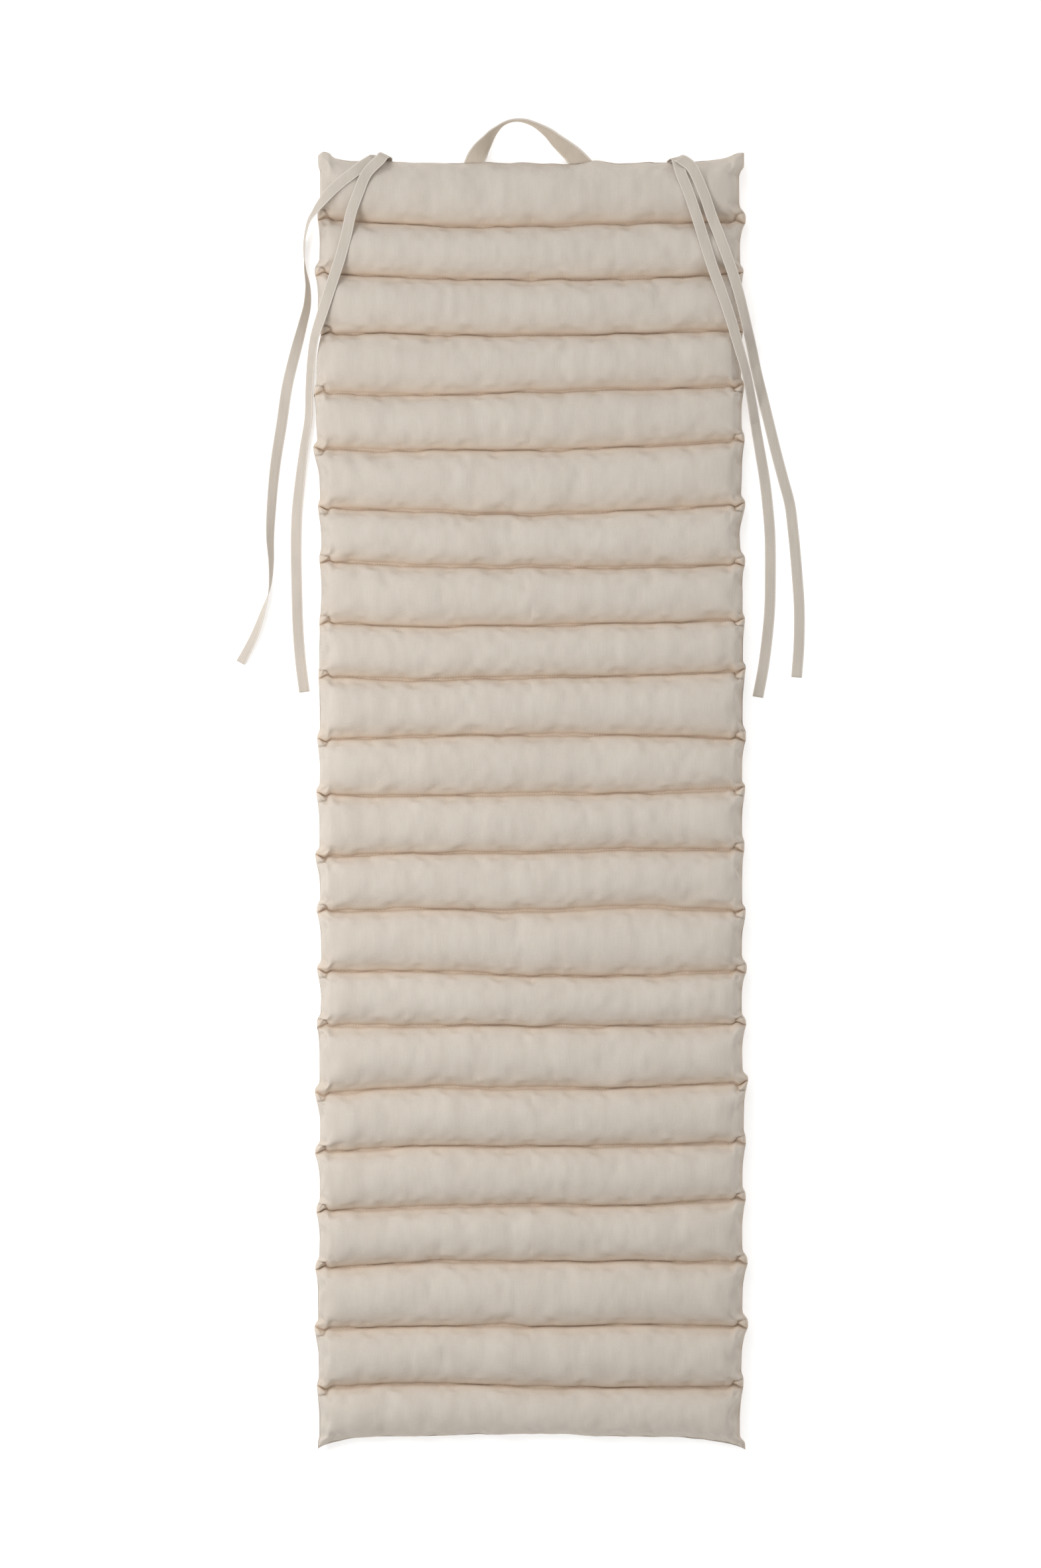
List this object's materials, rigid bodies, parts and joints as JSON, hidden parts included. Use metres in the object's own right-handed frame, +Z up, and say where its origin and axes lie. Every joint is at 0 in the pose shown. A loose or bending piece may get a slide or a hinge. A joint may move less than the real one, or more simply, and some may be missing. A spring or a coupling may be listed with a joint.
{
  "type": "mattress",
  "caption": "Slim channel-quilted roll-up floor mattress, lying face up, with a strap handle and tie tapes at the head end.",
  "frame": {"origin": "on the ground, under the middle of everything that is built", "axes": "+Z up out of the mattress's face, +Y along the mattress to the head end with the handle, +X across it"},
  "size_m": [0.8112, 1.8956, 0.0515],
  "materials": {
    "cover_cloth": "matt, undyed plain weave",
    "tape_cloth": "matt, the cover's cloth folded to a tape"
  },
  "bodies": {
    "root": {"mattress": "cover_cloth", "handle": "tape_cloth", "tie_left_inner": "tape_cloth", "tie_left_outer": "tape_cloth", "tie_right_inner": "tape_cloth", "tie_right_outer": "tape_cloth"}
  },
  "joints": []
}
